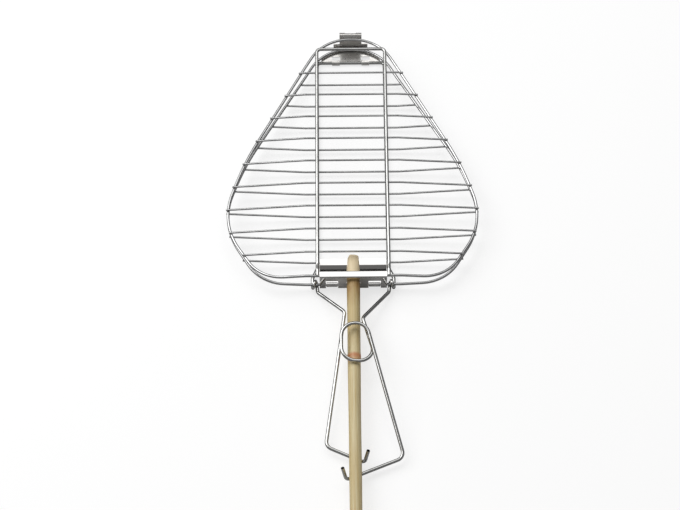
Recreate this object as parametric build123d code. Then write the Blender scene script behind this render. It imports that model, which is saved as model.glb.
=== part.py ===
"""Campfire grill basket: two hinged halves of welded wire, clipped shut and carried on a stick.

Millimetres. The basket lies flat, +Z is up, +Y points away from the stick and X runs across.
Places are worked out from the hinge-side edge of the rims, and each piece is then moved so that
the origin lies under the middle of the whole object, on the surface that it rests on.
"""
from build123d import *
from functools import cache
import math
import os

# Wire gauges
RIM_D = 2.8
CROSS_D = 2.0
FRAME_D = 3.5
WELD_GAP = 0.02

# Rim outline, half of it: corner points of the rounded triangle and their radii
NEAR_Y = -29.0
FAR_Y = 257.5
FAR_CORNER_X = 28.4
SIDE_CORNER = (110.0, 109.0)
WIDE_CORNER = (133.85, 37.5)
NEAR_CORNER_X = 92.6
FAR_R = 46.0
SIDE_R = 300.0
WIDE_R = 77.0
NEAR_R = 42.0

# Section of each half: a flat channel with a flank on each side down to the parting plane
CHANNEL_HALF_W = 48.0
HALF_DEPTH = 9.0
RIM_BEND_R = 10.0
CROSS_BEND_R = 6.0
PARTING_GAP = 0.3

# Cross wires
CROSS_COUNT = 9
CROSS_PITCH = 27.0
FIRST_CROSS_Y = 213.5
CROSS_OVERHANG = 0.6

# Lengthwise frames
FRAME_HALF_W = 35.65
LID_FRAME_FAR_Y = 241.6
BASE_FRAME_FAR_Y = 243.5
FRAME_CORNER_R = 4.0
LID_JOGGLE = 11.0

# Stick
STICK_Z = -0.5
STICK_TIP_Y = -0.5
STICK_LENGTH = 700.0
STICK_R = 6.8
GRIP_R = 6.2
TAPER_LENGTH = 185.0
TIP_LENGTH = 24.0
TIP_R = 3.4
SHOULDER_R = 5.4
NODE_FROM_TIP = 115.0
NODE_BULGE = 0.3

# Sheet metal
SHEET = 0.8
SHEET_BEND_R = 1.2
BRACKET_HALF_W = 33.6
BRACKET_FAR_Y = 1.0
BRACKET_STEP_Y = -5.0
BRACKET_SLOPE_END_Y = -24.0
WALL_FROM_RIM = 3.1
FOLD_W = 7.4
FOLD_CLEARANCE = 0.16
FOLD_MOUTH = 1.5
STICK_HOLE_CLEARANCE = 0.3
WINDOW_X = 15.2
WINDOW_W = 12.3
WINDOW_TOP_Z = 4.0
TAB_SLIT = 0.5
TAB_TURN = 290.0
TAB_CLEARANCE = 0.1

# End plate and catch
END_PLATE_NEAR_HALF_W = 31.0
END_PLATE_FAR_HALF_W = 18.0
END_WALL_OFFSET = 2.4
END_WALL_TOP_Z = -2.0
END_WINDOW_X = 11.0
END_WINDOW_W = 9.2
END_WINDOW_L = 4.5
CATCH_HALF_W = 11.6
CATCH_GAP = 0.25
CATCH_LIP_RISE = 2.3
CATCH_LIP_REACH = 1.4
CATCH_TOP_RISE = 4.8
CATCH_CURL_OUT = 4.6
CATCH_NOTCH_HALF_W = 5.6

# Carrying wire: eyes, elbows and the spring loop
EYE_PITCH = 5.2
EYE_CLEARANCE = 0.1
EYE_R = 3.1
JOG_START = 22.0
JOG_END = 9.0
EYE_RUN = 4.0
RUN_R = 5.0
LEFT_ELBOW = (-66.0, 1.5)
RIGHT_ELBOW = (-73.0, 1.5)
ELBOW_R = 6.0
STICK_CLEARANCE = 0.25
LOOP_FAR_Y = -85.0
LOOP_NEAR_Y = -124.0
LOOP_LEFT_X = -12.5
LOOP_Z = (6.9, 9.6, 12.2, 14.6)
LOOP_RADII = (14.0, 14.0, 13.0, 14.0)
LOOP_END_Y = -97.0

# Clamping arms
LEFT_KNEE = (-28.4, -208.0)
RIGHT_KNEE = (47.2, -220.3)
LEFT_HOOK_Y = -225.5
RIGHT_HOOK_Y = -243.5
KNEE_R = 8.0
HOOK_R = 4.4
HOOK_RISE = 14.5
HOOK_LEAN = 6.0
HOOK_FLARE = 3.6
ARM_GAP = 0.25

# Worked out from the values above
rim_r, cross_r, frame_r = RIM_D / 2, CROSS_D / 2, FRAME_D / 2
parting_z = rim_r + PARTING_GAP / 2
cross_z = HALF_DEPTH + rim_r + cross_r + WELD_GAP
frame_z = cross_z + cross_r + frame_r + WELD_GAP
fold_mid = rim_r + FOLD_CLEARANCE + SHEET / 2
tab_mid = rim_r + TAB_CLEARANCE + SHEET / 2
grasp = STICK_R + STICK_CLEARANCE + frame_r
bottom_z = -frame_z - frame_r
end_wall_y = FAR_Y + END_WALL_OFFSET
catch_tip_y = end_wall_y + CATCH_CURL_OUT


def flank(x, depth):
    """Height of a half's surface at x, whose channel stands at depth."""
    slope = (HALF_DEPTH - parting_z) / (outline().bounding_box().max.X - CHANNEL_HALF_W)
    return depth - max(0.0, abs(x) - CHANNEL_HALF_W) * slope


def wire(points, radii, radius):
    """A round wire swept along straight runs joined by tangent arcs."""
    path = FilletPolyline(*points, radius=radii).wire()
    section = Plane(origin=path @ 0, z_dir=path % 0) * Circle(radius)
    return sweep(section, path=path).solid()


def least_gap(points, radii, radius):
    """The least gap between a wire and itself, between places a few diameters apart along it."""
    path = FilletPolyline(*points, radius=radii).wire()
    count = int(path.length / radius)
    places = [path @ (i / count) for i in range(count + 1)]
    apart = int(4 * 2 * radius / (path.length / count))
    pairs = ((a, b) for i, a in enumerate(places) for b in places[i + apart:])
    return min((a - b).length for a, b in pairs) - 2 * radius


def strip(path, width):
    """A bent sheet strip: a path in the YZ plane given its thickness, then its width along X."""
    face = trace(path, SHEET)
    return extrude(Plane.YZ * face, amount=width / 2, both=True)


def save(name, shape, place):
    """Writes one named piece in its place."""
    placed = place * shape
    placed.label = name
    export_step(placed, os.path.join("parts", name + ".step"))


def side_points():
    """Corner points and radii of the rim's right side, from the far end to the near end."""
    run_x = SIDE_CORNER[0] - FAR_CORNER_X
    run_y = FAR_Y - SIDE_CORNER[1]
    fold_y = FAR_Y - (CHANNEL_HALF_W - FAR_CORNER_X) * run_y / run_x
    plan = [
        (FAR_CORNER_X, FAR_Y, FAR_R),
        (CHANNEL_HALF_W, fold_y, RIM_BEND_R),
        (*SIDE_CORNER, SIDE_R),
        (*WIDE_CORNER, WIDE_R),
        (NEAR_CORNER_X, NEAR_Y, NEAR_R),
        (CHANNEL_HALF_W, NEAR_Y, RIM_BEND_R),
    ]
    return plan


def make_rim(up):
    """The closed rim wire of one half; up is 1 for the lid and -1 for the base."""
    right = side_points()
    left = [(-x, y, r) for x, y, r in reversed(right)]
    near_middle = (0.0, NEAR_Y, up * HALF_DEPTH)
    far_middle = (0.0, FAR_Y, up * HALF_DEPTH)
    halves = []
    for start, side, end in ((near_middle, left, far_middle), (far_middle, right, near_middle)):
        points = [(x, y, up * flank(x, HALF_DEPTH)) for x, y, r in side]
        halves.append(wire([start] + points + [end], [r for x, y, r in side], rim_r))
    return halves[0] + halves[1]


@cache
def outline():
    """The right half of the rim's centre line seen from above, from the far end to the near end."""
    plan = [p for p in side_points() if p[2] != RIM_BEND_R]
    points = [(0.0, FAR_Y)] + [(x, py) for x, py, r in plan] + [(0.0, NEAR_Y)]
    return FilletPolyline(*points, radius=[r for x, py, r in plan]).wire()


def outline_x(y):
    """Half width of the rim's centre line at y, found on the outline by halving."""
    path = outline()
    low, high = 0.0, 1.0
    for _ in range(40):
        half = (low + high) / 2
        if (path @ half).Y > y:
            low = half
        else:
            high = half
    return (path @ low).X


def make_cross_wire(y, up):
    """One cross wire, bent at both channel edges, ending just past the rim."""
    end_x = outline_x(y) + rim_r + CROSS_OVERHANG
    end_z = up * flank(end_x, cross_z)
    top_z = up * cross_z
    points = [(-end_x, y, end_z), (-CHANNEL_HALF_W, y, top_z), (CHANNEL_HALF_W, y, top_z), (end_x, y, end_z)]
    return wire(points, [CROSS_BEND_R] * 2, cross_r)


def make_lid_frame():
    """The lid's U-shaped frame wire, whose ends step down onto the hinge wire."""
    x = FRAME_HALF_W
    foot_z = HALF_DEPTH + rim_r + frame_r + WELD_GAP
    foot_y = NEAR_Y - rim_r
    step_y = NEAR_Y + LID_JOGGLE
    right = [(x, LID_FRAME_FAR_Y, frame_z), (x, step_y, frame_z), (x, step_y - LID_JOGGLE / 2, foot_z), (x, foot_y, foot_z)]
    left = [(-px, py, pz) for px, py, pz in reversed(right)]
    radii = [RUN_R, RUN_R, FRAME_CORNER_R]
    return wire(left + right, radii + radii[::-1], frame_r)


def eye(side):
    """Corner points of one turn round the base rim's near wire, and where it leads on."""
    reach = rim_r + EYE_CLEARANCE + frame_r
    low, high = -HALF_DEPTH - reach, -HALF_DEPTH + reach
    near, far = NEAR_Y - reach, NEAR_Y + reach
    outer = FRAME_HALF_W + EYE_PITCH
    step = EYE_PITCH / 4
    turn = [
        (outer, near, low),
        (outer - step, near, high),
        (outer - 2 * step, far, high),
        (outer - 3 * step, far, low),
    ]
    enter = [(FRAME_HALF_W, NEAR_Y + JOG_START, -frame_z), (outer, NEAR_Y + JOG_END, low)]
    leave = (FRAME_HALF_W, near - EYE_RUN, low)
    points = enter + turn + [leave]
    return [(side * x, y, z) for x, y, z in points]


def arm_line(y):
    """X of the right arm's straight line, from its elbow to its knee, at y."""
    start = grasp
    return start + (RIGHT_ELBOW[0] - y) * (RIGHT_KNEE[0] - start) / (RIGHT_ELBOW[0] - RIGHT_KNEE[1])


def loop_points():
    """Corner points of the spring loop, which climbs one level at each corner."""
    a, b, c, d = LOOP_Z
    return [
        (arm_line(LOOP_NEAR_Y), LOOP_NEAR_Y, a),
        (LOOP_LEFT_X, LOOP_NEAR_Y, b),
        (LOOP_LEFT_X, LOOP_FAR_Y, c),
        (arm_line(LOOP_FAR_Y), LOOP_FAR_Y, d),
    ]


def arm_height(y):
    """Height of the right arm's straight run at y, from the loop's end to the knee."""
    top = LOOP_Z[3]
    share = (LOOP_FAR_Y - y) / (LOOP_FAR_Y - RIGHT_KNEE[1])
    return top + share * (STICK_Z - grasp - top)


def make_carrier():
    """The long wire under the base: frame, both eyes, the runs to the stick and the spring loop."""
    far = [(-FRAME_HALF_W, BASE_FRAME_FAR_Y, -frame_z), (FRAME_HALF_W, BASE_FRAME_FAR_Y, -frame_z)]
    left_elbow = (-grasp, *LEFT_ELBOW)
    left_end = left_line(ELBOW_R)
    right_elbow = (grasp, *RIGHT_ELBOW)
    right_end = (arm_line(LOOP_END_Y), LOOP_END_Y, arm_height(LOOP_END_Y))
    left = [left_end, left_elbow] + eye(-1)[::-1]
    right = eye(1) + [right_elbow] + loop_points() + [right_end]
    eye_radii = [RUN_R, RUN_R] + [EYE_R] * 4 + [RUN_R]
    radii = [ELBOW_R] + eye_radii[::-1] + [FRAME_CORNER_R] * 2 + eye_radii + [ELBOW_R, *LOOP_RADII]
    path = left + far + right
    print("least gap in the carrying wire", round(least_gap(path, radii, frame_r), 2))
    return wire(path, radii, frame_r)


def left_line(distance):
    """The point on the left arm's straight run at a distance from its elbow."""
    start = Vector(-grasp, *LEFT_ELBOW)
    end = Vector(*LEFT_KNEE, STICK_Z - grasp)
    return tuple(start + (end - start).normalized() * distance)


def hook(side, y):
    """Corner and tip of a hook that rises beside the stick."""
    corner = (side * grasp, y, STICK_Z - grasp)
    tip = (side * (grasp + HOOK_FLARE), y + HOOK_LEAN, STICK_Z - grasp + HOOK_RISE)
    return [corner, tip]


def make_left_arm():
    """The left clamping arm, which passes under the stick and hooks up on its right."""
    knee = (*LEFT_KNEE, STICK_Z - grasp)
    return wire([left_line(ELBOW_R + ARM_GAP), knee] + hook(1, LEFT_HOOK_Y), [KNEE_R, HOOK_R], frame_r)


def make_right_arm():
    """The right clamping arm, which carries on from the loop and hooks up on the stick's left."""
    knee = (*RIGHT_KNEE, STICK_Z - grasp)
    start_y = LOOP_END_Y - ARM_GAP
    start = (arm_line(start_y), start_y, arm_height(start_y))
    return wire([start, knee] + hook(-1, RIGHT_HOOK_Y), [KNEE_R, HOOK_R], frame_r)


def make_bracket():
    """The folded socket: base plate, wall with the stick's hole, fold round the lid's rim and two tabs."""
    over_z = -cross_z + cross_r + WELD_GAP + SHEET / 2
    under_z = -HALF_DEPTH - rim_r - TAB_CLEARANCE - SHEET / 2
    wall_y = NEAR_Y - WALL_FROM_RIM
    fold_y = wall_y + FOLD_W
    lip_y = wall_y + SHEET / 2 + FOLD_MOUTH
    flat = FilletPolyline(
        (BRACKET_FAR_Y, over_z), (BRACKET_STEP_Y, over_z), (BRACKET_SLOPE_END_Y, under_z),
        (wall_y, under_z), (wall_y, HALF_DEPTH + fold_mid), (fold_y, HALF_DEPTH + fold_mid),
        (fold_y, HALF_DEPTH - fold_mid), (lip_y, HALF_DEPTH - fold_mid), radius=[SHEET_BEND_R] * 6,
    )
    body = strip(flat, 2 * BRACKET_HALF_W)
    hole = Cylinder(STICK_R + STICK_HOLE_CLEARANCE, 8 * SHEET, rotation=(90, 0, 0))
    body -= Pos(0, wall_y, STICK_Z) * hole
    cut_low = under_z - SHEET
    cut_y = NEAR_Y - TAB_CLEARANCE
    for side in (-1, 1):
        middle_x = side * (WINDOW_X + WINDOW_W / 2)
        window = Box(WINDOW_W, 8 * SHEET, WINDOW_TOP_Z - cut_low, align=(Align.CENTER, Align.MAX, Align.MIN))
        body -= Pos(middle_x, cut_y, cut_low) * window
        curl = CenterArc((NEAR_Y, -HALF_DEPTH), tab_mid, -90, -TAB_TURN)
        body += Pos(middle_x, 0, 0) * strip(curl, WINDOW_W - 2 * TAB_SLIT)
    return body


def make_end_plate():
    """The far plate under the rim, with its low wall and two tabs curled round the frame wire."""
    curl_mid = frame_r + TAB_CLEARANCE + SHEET / 2
    plate_z = -frame_z + curl_mid
    path = FilletPolyline(
        (BASE_FRAME_FAR_Y, plate_z), (end_wall_y, plate_z), (end_wall_y, END_WALL_TOP_Z), radius=SHEET_BEND_R
    )
    body = strip(path, 2 * END_PLATE_NEAR_HALF_W)
    for side in (-1, 1):
        trim = Polyline(
            (side * END_PLATE_NEAR_HALF_W, BASE_FRAME_FAR_Y + END_WINDOW_L),
            (side * END_PLATE_FAR_HALF_W, end_wall_y - SHEET),
            (side * END_PLATE_FAR_HALF_W, end_wall_y + SHEET),
            (side * (END_PLATE_NEAR_HALF_W + SHEET), end_wall_y + SHEET),
            (side * (END_PLATE_NEAR_HALF_W + SHEET), BASE_FRAME_FAR_Y + END_WINDOW_L),
            close=True,
        )
        body -= extrude(make_face(trim), amount=4 * HALF_DEPTH, both=True)
        middle_x = side * (END_WINDOW_X + END_WINDOW_W / 2)
        window = Box(END_WINDOW_W, END_WINDOW_L, 4 * SHEET, align=(Align.CENTER, Align.MIN, Align.CENTER))
        body -= Pos(middle_x, BASE_FRAME_FAR_Y + frame_r, plate_z) * window
        curl = CenterArc((BASE_FRAME_FAR_Y, -frame_z), curl_mid, 90, TAB_TURN)
        body += Pos(middle_x, 0, 0) * strip(curl, END_WINDOW_W - 2 * TAB_SLIT)
    return body


def make_catch():
    """The springy strip that snaps over the lid's rim and ends in an outward curl."""
    path = FilletPolyline(
        (end_wall_y, END_WALL_TOP_Z + CATCH_GAP),
        (end_wall_y, HALF_DEPTH),
        (end_wall_y - CATCH_LIP_REACH, HALF_DEPTH + CATCH_LIP_RISE),
        (end_wall_y + SHEET, HALF_DEPTH + CATCH_TOP_RISE),
        (catch_tip_y - SHEET / 2, HALF_DEPTH + CATCH_LIP_RISE),
        radius=[SHEET_BEND_R] * 3,
    )
    body = strip(path, 2 * CATCH_HALF_W)
    notch_y = catch_tip_y - 2 * SHEET
    notch = Box(2 * CATCH_NOTCH_HALF_W, 4 * SHEET, 4 * SHEET, align=(Align.CENTER, Align.MIN, Align.CENTER))
    body -= Pos(0, notch_y, HALF_DEPTH + CATCH_LIP_RISE) * notch
    return body


def make_stick():
    """The peeled stick: whittled tip, a growth ring, a slow taper and a straight grip."""
    end_y = STICK_TIP_Y - STICK_LENGTH
    node_y = STICK_TIP_Y - NODE_FROM_TIP
    node_r = STICK_R - 2 * STICK_CLEARANCE * NODE_FROM_TIP / TAPER_LENGTH
    taper_y = STICK_TIP_Y - TIP_LENGTH - TAPER_LENGTH
    tip = ThreePointArc(
        (0, STICK_TIP_Y), (SHOULDER_R * 0.62, STICK_TIP_Y - TIP_R * 0.3), (SHOULDER_R, STICK_TIP_Y - TIP_R)
    )
    shoulder = Line(tip @ 1, (STICK_R, STICK_TIP_Y - TIP_LENGTH))
    upper = Line(shoulder @ 1, (node_r, node_y + TIP_R))
    bulge = ThreePointArc(upper @ 1, (node_r + NODE_BULGE, node_y), (node_r, node_y - TIP_R))
    lower = Line(bulge @ 1, (GRIP_R, taper_y))
    grip = Line(lower @ 1, (GRIP_R, end_y))
    close = Polyline(grip @ 1, (0, end_y), tip @ 0)
    profile = make_face([tip, shoulder, upper, bulge, lower, grip, close])
    return Pos(0, 0, STICK_Z) * revolve(profile, Axis.Y)


def main():
    os.makedirs("parts", exist_ok=True)
    catch = make_catch()
    middle_y = (catch.bounding_box().max.Y + STICK_TIP_Y - STICK_LENGTH) / 2
    place = Location((0, -middle_y, -bottom_z))
    pieces = {
        "upper_rim": make_rim(1),
        "lower_rim": make_rim(-1),
        "upper_frame": make_lid_frame(),
        "carrier_wire": make_carrier(),
        "left_clamp_arm": make_left_arm(),
        "right_clamp_arm": make_right_arm(),
        "stick_bracket": make_bracket(),
        "end_plate": make_end_plate(),
        "catch_clip": catch,
        "stick": make_stick(),
    }
    for number in range(CROSS_COUNT):
        y = FIRST_CROSS_Y - number * CROSS_PITCH
        pieces[f"upper_cross_wire_{number + 1}"] = make_cross_wire(y, 1)
        pieces[f"lower_cross_wire_{number + 1}"] = make_cross_wire(y, -1)
    for name, shape in pieces.items():
        save(name, shape, place)
    print("pieces moved by", place.position)


main()
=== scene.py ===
"""A campfire grill basket on a peeled stick: finishes, welds, stick, studio and camera."""
import logging
import math
from dataclasses import dataclass, field
from enum import Enum
from typing import Optional

import bpy
from mathutils import Matrix, Vector


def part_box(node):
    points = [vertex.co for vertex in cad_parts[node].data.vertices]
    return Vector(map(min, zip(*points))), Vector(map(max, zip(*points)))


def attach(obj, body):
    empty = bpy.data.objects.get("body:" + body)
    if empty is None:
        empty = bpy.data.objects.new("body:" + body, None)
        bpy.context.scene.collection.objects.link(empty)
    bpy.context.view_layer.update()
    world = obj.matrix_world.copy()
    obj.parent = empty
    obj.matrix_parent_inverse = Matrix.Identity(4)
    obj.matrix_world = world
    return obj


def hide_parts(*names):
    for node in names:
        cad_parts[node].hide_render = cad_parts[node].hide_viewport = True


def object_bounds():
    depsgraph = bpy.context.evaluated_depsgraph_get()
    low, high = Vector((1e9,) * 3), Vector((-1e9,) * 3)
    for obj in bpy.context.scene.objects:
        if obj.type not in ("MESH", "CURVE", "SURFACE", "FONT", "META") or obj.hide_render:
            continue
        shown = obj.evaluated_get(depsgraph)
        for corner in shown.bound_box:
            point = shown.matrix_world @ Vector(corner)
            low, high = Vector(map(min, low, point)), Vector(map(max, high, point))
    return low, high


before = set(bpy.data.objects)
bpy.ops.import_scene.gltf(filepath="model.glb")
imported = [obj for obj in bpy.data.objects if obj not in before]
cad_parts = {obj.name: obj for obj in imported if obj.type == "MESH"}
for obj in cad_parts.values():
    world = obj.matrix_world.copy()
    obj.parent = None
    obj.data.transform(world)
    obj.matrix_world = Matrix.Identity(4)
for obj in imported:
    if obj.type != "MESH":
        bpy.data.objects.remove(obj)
cad_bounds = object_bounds()

log = logging.getLogger("grill_basket")
MM = 0.001
Colour = tuple[float, float, float]
Point = tuple[float, float, float]


class Half(Enum):
    """The two halves of the basket, by the first word of their node names."""

    LID = "upper"
    BASE = "lower"

    @property
    def body(self) -> str:
        """The moving body that the half rides on."""
        return "lid" if self is Half.LID else "base"

    @property
    def up(self) -> int:
        """1 where the half's outside faces up, -1 where it faces down."""
        return 1 if self is Half.LID else -1


class Graph:
    """A small builder for a material's node graph."""

    def __init__(self, material: bpy.types.Material) -> None:
        """Empties the material's nodes and keeps them at hand.

        Args:
            material: the material whose nodes are built.
        """
        material.use_nodes = True
        self.nodes = material.node_tree.nodes
        self.links = material.node_tree.links
        self.nodes.clear()

    def add(self, kind: str, inputs: Optional[dict] = None, **settings) -> bpy.types.Node:
        """Adds a node.

        Args:
            kind: the node's type name.
            inputs: input names or numbers, each with a value or a socket to link from.
            settings: the node's own properties.

        Returns:
            The new node.
        """
        node = self.nodes.new(kind)
        for name, value in settings.items():
            setattr(node, name, value)
        for name, value in (inputs or {}).items():
            if isinstance(value, bpy.types.NodeSocket):
                self.links.new(value, node.inputs[name])
            else:
                node.inputs[name].default_value = value
        return node

    def stretched(self, scale: Point) -> bpy.types.NodeSocket:
        """Object coordinates stretched along the axes.

        Args:
            scale: how much each axis is multiplied.

        Returns:
            The stretched coordinates.
        """
        place = self.add("ShaderNodeTexCoord")
        return self.add("ShaderNodeMapping", {"Vector": place.outputs["Object"], "Scale": scale}).outputs[0]

    def noise(self, scale: Point, detail: float = 4.0, rough: float = 0.55) -> bpy.types.NodeSocket:
        """Fractal noise over the stretched object coordinates.

        Args:
            scale: noise cells per metre along each axis.
            detail: octaves of the noise.
            rough: how strong the finer octaves are.

        Returns:
            The noise value from 0 to 1.
        """
        vector = self.stretched(scale)
        inputs = {"Vector": vector, "Scale": 1.0, "Detail": detail, "Roughness": rough}
        return self.add("ShaderNodeTexNoise", inputs).outputs[0]

    def between(self, value: bpy.types.NodeSocket, low: float, high: float, start: float = 0.3,
                end: float = 0.7) -> bpy.types.NodeSocket:
        """Maps a value from a start and end to a low and high, clamped.

        Args:
            value: the socket that is mapped.
            low: the result at the start.
            high: the result at the end.
            start: the value that gives the low result.
            end: the value that gives the high result.

        Returns:
            The mapped value.
        """
        inputs = {"Value": value, "From Min": start, "From Max": end, "To Min": low, "To Max": high}
        return self.add("ShaderNodeMapRange", inputs).outputs[0]

    def blend(self, share: bpy.types.NodeSocket, first, second) -> bpy.types.NodeSocket:
        """Mixes two colours.

        Args:
            share: how much of the second colour there is.
            first: a colour, or a socket that gives one.
            second: a colour, or a socket that gives one.

        Returns:
            The mixed colour.
        """
        node = self.add("ShaderNodeMix", data_type="RGBA")
        self.links.new(share, node.inputs[0])
        for number, colour in ((6, first), (7, second)):
            if isinstance(colour, bpy.types.NodeSocket):
                self.links.new(colour, node.inputs[number])
            else:
                node.inputs[number].default_value = (*colour, 1.0)
        return node.outputs[2]


@dataclass(frozen=True)
class SteelFinish:
    """Bright stainless steel with drawing lines and rubbed patches, and an optional band of painted shade and
    painted dark reflection.
    """

    name: str
    light: Colour
    dark: Colour
    smooth: float
    rubbed: float
    line_scale: Point
    line_depth: float
    # Optional band of painted shade: shade gives its near y, far y and top z, and the dark colour below is the
    # painted shade's colour.
    shade: Optional[Point] = None
    painted_shade: Colour = (0.07, 0.068, 0.066)

    def material(self) -> bpy.types.Material:
        """Builds the finish.

        Returns:
            The new material.
        """
        material = bpy.data.materials.new(self.name)
        graph = Graph(material)
        patches = graph.noise((60.0, 60.0, 60.0))
        lines = graph.noise(self.line_scale, detail=3.0)
        colour = graph.blend(graph.between(patches, 0.0, 1.0), self.light, self.dark)
        # Painted shade: darkens a band of the plate below the top z, standing in for the shade and dark reflection
        # under the socket's roll.
        if self.shade:
            near_y, far_y, top_z = self.shade
            place = graph.add("ShaderNodeSeparateXYZ", {"Vector": graph.stretched((1.0, 1.0, 1.0))})
            rise = graph.between(place.outputs[1], 1.0, 0.0, far_y - 1 * MM, far_y)
            low = graph.between(place.outputs[2], 1.0, 0.0, top_z - 1 * MM, top_z)
            start = graph.between(place.outputs[1], 0.0, 1.0, near_y - 1 * MM, near_y)
            band = graph.add("ShaderNodeMath", {0: rise, 1: low}, operation="MULTIPLY").outputs[0]
            share = graph.add("ShaderNodeMath", {0: band, 1: start}, operation="MULTIPLY").outputs[0]
            colour = graph.blend(share, colour, self.painted_shade)
        rough = graph.between(patches, self.smooth, self.rubbed)
        bump = graph.add("ShaderNodeBump", {"Height": lines, "Strength": self.line_depth, "Distance": 0.05 * MM})
        shader = graph.add("ShaderNodeBsdfPrincipled", {
            "Base Color": colour, "Metallic": 1.0, "Roughness": rough, "Normal": bump.outputs[0],
        })
        graph.add("ShaderNodeOutputMaterial", {"Surface": shader.outputs[0]})
        return material


@dataclass(frozen=True)
class PeeledWoodFinish:
    """Peeled green wood: pale streaks, a cut tip, mottled grime with painted shade darkening it toward the socket,
    and a rosy growth ring.
    """

    name: str
    pale: Colour
    deep: Colour
    cut: Colour
    rosy: Colour
    grime_and_shade: Colour
    cut_from: float
    socket_y: float
    ring_at: float
    ring_width: float

    def material(self) -> bpy.types.Material:
        """Builds the finish.

        Returns:
            The new material.
        """
        material = bpy.data.materials.new(self.name)
        graph = Graph(material)
        streaks = graph.noise((900.0, 14.0, 900.0), detail=5.0)
        patches = graph.noise((90.0, 16.0, 90.0))
        along = graph.add("ShaderNodeSeparateXYZ", {"Vector": graph.stretched((1.0, 1.0, 1.0))}).outputs[1]
        wood = graph.blend(graph.between(streaks, 0.0, 1.0, 0.35, 0.65), self.pale, self.deep)
        aged = graph.blend(graph.between(patches, 0.0, 0.55), wood, self.deep)
        cut_share = graph.between(along, 0.0, 0.85, self.cut_from - 3 * MM, self.cut_from + 1 * MM)
        warmed = graph.blend(graph.between(along, 0.0, 0.4, self.ring_at, self.ring_at + 15 * MM), aged, self.deep)
        # Mottled grime mixed with painted shade: the stick turns dark brown toward the socket and inside it, where
        # the socket shades it.
        grime = graph.between(graph.noise((160.0, 45.0, 160.0)), 0.5, 1.0, 0.35, 0.6)
        toward = graph.between(along, 0.0, 1.0, self.socket_y - 30 * MM, self.socket_y - 6 * MM)
        grime_and_shade_share = graph.add("ShaderNodeMath", {0: grime, 1: toward}, operation="MULTIPLY").outputs[0]
        grimed_and_shaded = graph.blend(grime_and_shade_share, warmed, self.grime_and_shade)
        tipped = graph.blend(cut_share, grimed_and_shaded, self.cut)
        near = graph.between(along, 0.0, 1.0, self.ring_at - self.ring_width, self.ring_at)
        far = graph.between(along, 1.0, 0.0, self.ring_at, self.ring_at + 0.4 * self.ring_width)
        both = graph.add("ShaderNodeMath", {0: near, 1: far}, operation="MULTIPLY").outputs[0]
        ring = graph.add("ShaderNodeMath", {0: both, 1: graph.between(patches, 0.7, 1.0)}, operation="MULTIPLY")
        colour = graph.blend(ring.outputs[0], tipped, self.rosy)
        bump = graph.add("ShaderNodeBump", {"Height": streaks, "Strength": 0.35, "Distance": 0.25 * MM})
        shader = graph.add("ShaderNodeBsdfPrincipled", {
            "Base Color": colour, "Roughness": graph.between(streaks, 0.34, 0.5), "Normal": bump.outputs[0],
            "Specular IOR Level": 0.4,
        })
        graph.add("ShaderNodeOutputMaterial", {"Surface": shader.outputs[0]})
        return material


def dress(node: str, material: bpy.types.Material) -> None:
    """Gives a node of the frame its finish.

    Args:
        node: the node's name.
        material: the finish.
    """
    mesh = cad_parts[node].data
    mesh.materials.clear()
    mesh.materials.append(material)


def as_piece(name: str, mesh: bpy.types.Mesh, body: str) -> bpy.types.Object:
    """Adds a finished mesh as a piece that rides on a body.

    Args:
        name: the piece's name.
        mesh: its mesh, already in its place.
        body: the body that it moves with.

    Returns:
        The new object.
    """
    piece = bpy.data.objects.new(name, mesh)
    bpy.context.scene.collection.objects.link(piece)
    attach(piece, body)
    log.info("piece %s rides on %s with %d faces", name, body, len(mesh.polygons))
    return piece


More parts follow.
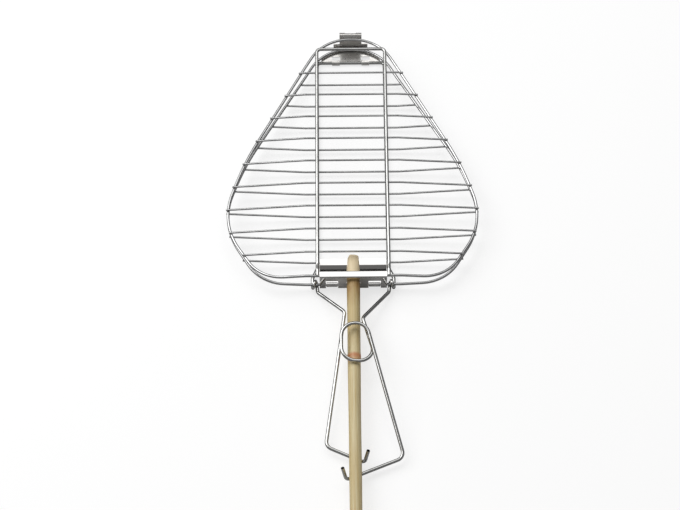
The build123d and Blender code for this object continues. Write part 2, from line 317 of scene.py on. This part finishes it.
@dataclass
class WeldNuggets:
    """The flattened resistance welds where the wires of one half cross."""

    half: Half
    material: bpy.types.Material
    bar_x: float = 35.65 * MM
    radius: float = 1.25 * MM
    squash: Point = (1.15, 1.0, 0.62)
    overhang: float = 0.6 * MM
    rim_radius: float = 1.4 * MM
    wires: int = 9
    places: list = field(default_factory=list)

    def find_places(self) -> None:
        """Finds each crossing from the boxes of the cross wires."""
        for number in range(1, self.wires + 1):
            low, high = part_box(f"{self.half.value}_cross_wire_{number}")
            wire_r = (high[1] - low[1]) / 2
            y = (low[1] + high[1]) / 2
            outer = high[2] if self.half is Half.LID else low[2]
            inner = low[2] if self.half is Half.LID else high[2]
            end_x = high[0] - self.overhang - self.rim_radius
            for side in (-1, 1):
                self.places.append((side * self.bar_x, y, outer))
                self.places.append((side * end_x, y, inner + self.half.up * 0.3 * wire_r))

    def tree(self) -> bpy.types.NodeTree:
        """Builds the node tree that puts a nugget on each point.

        Returns:
            The new tree, with named inputs for the nugget's size.
        """
        tree = bpy.data.node_groups.new(f"{self.half.value}_weld_nuggets", "GeometryNodeTree")
        tree.interface.new_socket("Geometry", in_out="INPUT", socket_type="NodeSocketGeometry")
        tree.interface.new_socket("Nugget radius", in_out="INPUT", socket_type="NodeSocketFloat")
        tree.interface.new_socket("Nugget shape", in_out="INPUT", socket_type="NodeSocketVector")
        tree.interface.new_socket("Unevenness", in_out="INPUT", socket_type="NodeSocketFloat")
        tree.interface.new_socket("Geometry", in_out="OUTPUT", socket_type="NodeSocketGeometry")
        nodes, links = tree.nodes, tree.links
        source, result = nodes.new("NodeGroupInput"), nodes.new("NodeGroupOutput")
        ball = nodes.new("GeometryNodeMeshIcoSphere")
        ball.inputs["Subdivisions"].default_value = 3
        uneven = nodes.new("FunctionNodeRandomValue")
        uneven.data_type = "FLOAT"
        uneven.inputs["Seed"].default_value = 7
        low = nodes.new("ShaderNodeMath")
        low.operation = "SUBTRACT"
        low.inputs[0].default_value = 1.0
        size = nodes.new("ShaderNodeVectorMath")
        size.operation = "SCALE"
        spread = nodes.new("GeometryNodeInstanceOnPoints")
        real = nodes.new("GeometryNodeRealizeInstances")
        paint = nodes.new("GeometryNodeSetMaterial")
        paint.inputs["Material"].default_value = self.material
        links.new(source.outputs["Nugget radius"], ball.inputs["Radius"])
        links.new(source.outputs["Unevenness"], low.inputs[1])
        links.new(low.outputs[0], uneven.inputs[2])
        links.new(source.outputs["Nugget shape"], size.inputs[0])
        links.new(uneven.outputs[1], size.inputs["Scale"])
        links.new(source.outputs["Geometry"], spread.inputs["Points"])
        links.new(ball.outputs["Mesh"], spread.inputs["Instance"])
        links.new(size.outputs[0], spread.inputs["Scale"])
        links.new(spread.outputs[0], real.inputs[0])
        links.new(real.outputs[0], paint.inputs["Geometry"])
        links.new(paint.outputs[0], result.inputs[0])
        return tree

    def build(self) -> bpy.types.Object:
        """Makes the nuggets of this half as one plain mesh.

        Returns:
            The piece.
        """
        self.find_places()
        points = bpy.data.meshes.new("weld_points")
        points.from_pydata(self.places, [], [])
        seed = bpy.data.objects.new("weld_points", points)
        bpy.context.scene.collection.objects.link(seed)
        modifier = seed.modifiers.new("welds", "NODES")
        modifier.node_group = self.tree()
        values = {"Nugget radius": self.radius, "Nugget shape": self.squash, "Unevenness": 0.18}
        for item in modifier.node_group.interface.items_tree:
            if item.in_out == "INPUT" and item.name in values:
                modifier[item.identifier] = values[item.name]
        evaluated = seed.evaluated_get(bpy.context.evaluated_depsgraph_get())
        mesh = bpy.data.meshes.new_from_object(evaluated)
        bpy.data.objects.remove(seed)
        mesh.shade_smooth()
        return as_piece(f"{self.half.value}_welds", mesh, self.half.body)


@dataclass
class PeeledStick:
    """The peeled stick with its whittled tip, growth ring and uneven thickness."""

    around: int = 56
    thick_r: float = 6.8 * MM
    grip_r: float = 6.2 * MM
    tip_length: float = 24.0 * MM
    taper_length: float = 185.0 * MM
    ring_from_tip: float = 115.0 * MM
    ring_reach: float = 5.0 * MM
    ring_bulge: float = 0.45 * MM
    knife_cuts: int = 7
    tip_dome: float = 3.4 * MM
    wobble: float = 0.14 * MM
    step: float = 3.0 * MM

    def core_radius(self, along: float) -> float:
        """Radius of the stick before its unevenness.

        Args:
            along: distance from the tip.

        Returns:
            The radius.
        """
        past = min(1.0, max(0.0, (along - self.tip_length) / self.taper_length))
        radius = self.thick_r + past * (self.grip_r - self.thick_r)
        near = abs(along - self.ring_from_tip) / self.ring_reach
        if near < 1.0:
            radius += self.ring_bulge * math.cos(near * math.pi / 2) ** 2
        return radius - self.wobble

    def tip_radius(self, along: float, angle: float) -> float:
        """Radius on the whittled tip, cut by a few flat knife strokes to a blunt round end.

        Args:
            along: distance from the tip.
            angle: angle round the stick.

        Returns:
            The radius, close to the stick's thick radius past the cuts.
        """
        share = min(1.0, along / self.tip_length)
        best = 1.0
        for cut in range(self.knife_cuts):
            facing = 2 * math.pi * (cut + 0.35 * math.sin(cut * 2.3)) / self.knife_cuts
            facet = (0.76 + 0.03 * math.sin(cut * 1.7)) + (0.28 + 0.03 * math.cos(cut * 2.9)) * share
            cosine = math.cos(angle - facing)
            if cosine > 0.2:
                best = min(best, facet / cosine)
        dome = math.sqrt(max(0.0, 1 - (1 - min(1.0, along / self.tip_dome)) ** 2))
        return self.thick_r * best * dome

    def build(self) -> bpy.types.Object:
        """Makes the stick's mesh and dresses it.

        Returns:
            The piece.
        """
        low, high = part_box("stick")
        axis_x, axis_z = (low[0] + high[0]) / 2, (low[2] + high[2]) / 2
        length = high[1] - low[1]
        fine = [self.tip_length * (i / 26) ** 1.5 for i in range(1, 27)]
        rows = fine + [d for d in self.spaced(self.tip_length + self.step, length)] + [length]
        verts: list[Point] = [(axis_x, high[1], axis_z)]
        for along in rows:
            for turn in range(self.around):
                angle = 2 * math.pi * turn / self.around
                radius = min(self.core_radius(along), self.tip_radius(along, angle))
                radius += self.wobble * self.ripple(along, angle) * min(1.0, along / self.tip_length)
                verts.append((axis_x + radius * math.cos(angle), high[1] - along, axis_z + radius * math.sin(angle)))
        faces: list[tuple[int, ...]] = []
        for turn in range(self.around):
            after = (turn + 1) % self.around
            faces.append((0, 1 + turn, 1 + after))
            for row in range(len(rows) - 1):
                base = 1 + row * self.around
                faces.append((base + turn, base + self.around + turn, base + self.around + after, base + after))
        last = 1 + (len(rows) - 1) * self.around
        faces.append(tuple(last + turn for turn in reversed(range(self.around))))
        mesh = bpy.data.meshes.new("peeled_stick")
        mesh.from_pydata(verts, [], faces)
        mesh.validate()
        mesh.shade_smooth()
        # The dark brown by the socket is mottled grime mixed with painted shade.
        finish = PeeledWoodFinish(
            name="peeled_green_wood", pale=(0.80, 0.72, 0.46), deep=(0.62, 0.47, 0.22), cut=(0.93, 0.78, 0.52),
            rosy=(0.60, 0.20, 0.08), grime_and_shade=(0.34, 0.18, 0.05), cut_from=high[1] - self.tip_length,
            socket_y=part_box("stick_bracket")[0][1], ring_at=high[1] - self.ring_from_tip, ring_width=9.0 * MM,
        )
        mesh.materials.append(finish.material())
        piece = as_piece("peeled_stick", mesh, "stick")
        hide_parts("stick")
        return piece

    def spaced(self, start: float, end: float) -> list[float]:
        """Distances along the stick, a step apart.

        Args:
            start: the first distance from the tip.
            end: the distance that they stop short of.

        Returns:
            The distances.
        """
        count = int((end - start) / self.step)
        return [start + (end - start) * i / count for i in range(count)]

    def ripple(self, along: float, angle: float) -> float:
        """Slow unevenness of the wood.

        Args:
            along: distance from the tip.
            angle: angle round the stick.

        Returns:
            The unevenness, from -1 to 1.
        """
        first = math.sin(along * 61.0 + 2.0 * angle)
        second = math.sin(along * 23.0 - angle + 1.3)
        return 0.5 * first + 0.5 * second


@dataclass
class Studio:
    """Pale floor, soft lamps, a dim horizon for the metal to mirror, and the camera."""

    focal_px: float = 2377.0
    image_width_px: float = 680.0
    sensor_mm: float = 36.0
    distance: float = 2.390
    elevation_deg: float = 60.0
    roll: float = 0.0087
    aim_x: float = -13.07 * MM
    rim_near_to_aim: float = 29.0 * MM
    floor_half: float = 6.0
    paper: float = 0.93
    paper_in_metal: float = 0.5
    glow: float = 1.17
    glow_share: float = 0.6
    ring_radius: float = 2.7
    ring_height: float = 1.35
    ring_sides: int = 64
    sky: float = 0.32

    def camera(self) -> None:
        """Sets the camera at the photograph's viewing angle."""
        low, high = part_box("lower_rim")
        near_y = low[1] + 1.4 * MM
        parting_z = (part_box("upper_rim")[1][2] + low[2]) / 2
        aim = Vector((self.aim_x, near_y + self.rim_near_to_aim, parting_z))
        tilt = math.radians(self.elevation_deg)
        back = Vector((0.0, -math.cos(tilt), math.sin(tilt)))
        up = Vector((0.0, math.sin(tilt), math.cos(tilt)))
        turn = Matrix((Vector((1.0, 0.0, 0.0)), up, back)).transposed() @ Matrix.Rotation(-self.roll, 3, "Z")
        lens = bpy.data.cameras.new("camera")
        lens.sensor_fit = "HORIZONTAL"
        lens.sensor_width = self.sensor_mm
        lens.lens = self.focal_px / self.image_width_px * self.sensor_mm
        lens.clip_end = 50.0
        camera = bpy.data.objects.new("camera", lens)
        camera.matrix_world = Matrix.Translation(aim + back * self.distance) @ turn.to_4x4()
        bpy.context.scene.collection.objects.link(camera)
        bpy.context.scene.camera = camera

    def floor(self) -> None:
        """Lays a white floor that keeps the object's soft shadow."""
        half, low = self.floor_half, cad_bounds[0][2]
        corners = [(-half, -half, low), (half, -half, low), (half, half, low), (-half, half, low)]
        mesh = bpy.data.meshes.new("floor")
        mesh.from_pydata(corners, [], [(0, 1, 2, 3)])
        material = bpy.data.materials.new("floor_white")
        graph = Graph(material)
        path = graph.add("ShaderNodeLightPath")
        tone = graph.blend(path.outputs["Is Glossy Ray"], (self.paper,) * 3, (self.paper_in_metal,) * 3)
        paper = graph.add("ShaderNodeBsdfDiffuse", {"Color": tone})
        glow = graph.add("ShaderNodeEmission", {"Color": (1.0, 1.0, 1.0, 1.0), "Strength": self.glow})
        seen = {0: path.outputs["Is Camera Ray"], 1: self.glow_share}
        share = graph.add("ShaderNodeMath", seen, operation="MULTIPLY")
        both = graph.add("ShaderNodeMixShader", {0: share.outputs[0], 1: paper.outputs[0], 2: glow.outputs[0]})
        graph.add("ShaderNodeOutputMaterial", {"Surface": both.outputs[0]})
        mesh.materials.append(material)
        floor = bpy.data.objects.new("floor", mesh)
        bpy.context.scene.collection.objects.link(floor)

    def horizon(self) -> None:
        """Stands a low dark ring round the set that only the metal sees, for the wires' dark edges."""
        verts, faces = [], []
        for turn in range(self.ring_sides):
            angle = 2 * math.pi * turn / self.ring_sides
            x, y = self.ring_radius * math.cos(angle), self.ring_radius * math.sin(angle)
            verts += [(x, y, 0.0), (x, y, self.ring_height)]
            after = (turn + 1) % self.ring_sides
            faces.append((2 * turn, 2 * after, 2 * after + 1, 2 * turn + 1))
        mesh = bpy.data.meshes.new("horizon")
        mesh.from_pydata(verts, [], faces)
        material = bpy.data.materials.new("horizon_grey")
        graph = Graph(material)
        cloth = graph.add("ShaderNodeBsdfDiffuse", {"Color": (0.012, 0.012, 0.014, 1.0)})
        clear = graph.add("ShaderNodeBsdfTransparent")
        path = graph.add("ShaderNodeLightPath")
        unseen = {0: path.outputs["Is Camera Ray"], 1: cloth.outputs[0], 2: clear.outputs[0]}
        graph.add("ShaderNodeOutputMaterial", {"Surface": graph.add("ShaderNodeMixShader", unseen).outputs[0]})
        mesh.materials.append(material)
        ring = bpy.data.objects.new("horizon", mesh)
        bpy.context.scene.collection.objects.link(ring)

    def lamp(self, name: str, place: Point, size: float, power: float) -> None:
        """Hangs a square soft lamp that faces the basket.

        Args:
            name: the lamp's name.
            place: where it hangs, in metres.
            size: the length of its side.
            power: its power in watts.
        """
        data = bpy.data.lights.new(name, "AREA")
        data.size = size
        data.energy = power
        lamp = bpy.data.objects.new(name, data)
        lamp.location = place
        lamp.rotation_euler = Vector(place).to_track_quat("Z", "Y").to_euler()
        bpy.context.scene.collection.objects.link(lamp)

    def light(self) -> None:
        """Lights the set softly from the upper left."""
        world = bpy.data.worlds.new("studio")
        bpy.context.scene.world = world
        world.use_nodes = True
        nodes, links = world.node_tree.nodes, world.node_tree.links
        nodes.clear()
        sky = nodes.new("ShaderNodeBackground")
        sky.inputs["Color"].default_value = (1.0, 1.0, 1.0, 1.0)
        path = nodes.new("ShaderNodeLightPath")
        strength = nodes.new("ShaderNodeMapRange")
        strength.inputs["To Min"].default_value = self.sky
        strength.inputs["To Max"].default_value = 1.0
        links.new(path.outputs["Is Camera Ray"], strength.inputs["Value"])
        links.new(strength.outputs[0], sky.inputs["Strength"])
        out = nodes.new("ShaderNodeOutputWorld")
        links.new(sky.outputs[0], out.inputs[0])
        self.lamp("key", (-1.5, 0.9, 1.9), 2.0, 37.0)
        self.lamp("panel", (0.1, 1.25, 1.95), 1.5, 10.0)

    def build(self) -> None:
        """Sets up the whole studio."""
        bpy.context.scene.view_settings.view_transform = "Standard"
        self.camera()
        self.floor()
        self.horizon()
        self.light()


@dataclass
class Basket:
    """The steel pieces of the basket and its handle, by their finish."""

    rim_nodes: tuple[str, ...] = ("upper_rim", "lower_rim")
    frame_nodes: tuple[str, ...] = ("upper_frame", "carrier_wire", "left_clamp_arm", "right_clamp_arm")
    sheet_nodes: tuple[str, ...] = ("end_plate", "catch_clip")
    wires: int = 9

    def finishes(self, painted_shade: Point) -> dict[str, SteelFinish]:
        """The steel finishes by what they cover.

        Args:
            painted_shade: where the socket's base plate gets its band of painted shade: near and far y, and the top
                z.

        Returns:
            The finishes by name.
        """
        return {
            "rim": SteelFinish("bright_rim_wire", (0.56, 0.56, 0.56), (0.42, 0.42, 0.42), 0.10, 0.18,
                               (700.0, 700.0, 700.0), 0.25),
            "cross": SteelFinish("bright_cross_wire", (0.58, 0.58, 0.58), (0.42, 0.42, 0.42), 0.16, 0.28,
                                 (120.0, 1600.0, 1600.0), 0.3),
            "frame": SteelFinish("bright_frame_wire", (0.60, 0.60, 0.59), (0.44, 0.44, 0.43), 0.08, 0.16,
                                 (1600.0, 120.0, 1600.0), 0.25),
            "sheet": SteelFinish("rolled_sheet_steel", (0.76, 0.75, 0.73), (0.62, 0.60, 0.57), 0.20, 0.34,
                                 (60.0, 1800.0, 1800.0), 0.3),
            # The socket's finish carries the band of painted shade and painted dark reflection.
            "socket": SteelFinish("polished_socket_steel", (0.74, 0.73, 0.72), (0.6, 0.59, 0.58), 0.05, 0.1,
                                  (60.0, 1800.0, 1800.0), 0.2, shade=painted_shade),
            "weld": SteelFinish("weld_steel", (0.5, 0.49, 0.48), (0.3, 0.28, 0.27), 0.25, 0.45,
                                (900.0, 900.0, 900.0), 0.6),
        }

    def build(self) -> None:
        """Dresses the frame's steel nodes and adds the welds."""
        low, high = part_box("stick_bracket")
        # The band of painted shade on the socket's base plate, just inside the roll, where the plate lies in shade
        # and mirrors dark.
        painted_shade = (high[1] - 14.5 * MM, high[1] - 6.5 * MM, (low[2] + high[2]) / 2)
        made = {name: finish.material() for name, finish in self.finishes(painted_shade).items()}
        for node in self.rim_nodes:
            dress(node, made["rim"])
        for node in self.frame_nodes:
            dress(node, made["frame"])
        for node in self.sheet_nodes:
            dress(node, made["sheet"])
        dress("stick_bracket", made["socket"])
        for half in Half:
            for number in range(1, self.wires + 1):
                dress(f"{half.value}_cross_wire_{number}", made["cross"])
            WeldNuggets(half, made["weld"]).build()


def main() -> None:
    """Builds every piece and the studio."""
    logging.basicConfig(level=logging.INFO)
    Studio().build()
    Basket().build()
    PeeledStick().build()


if __name__ == "__main__":
    main()
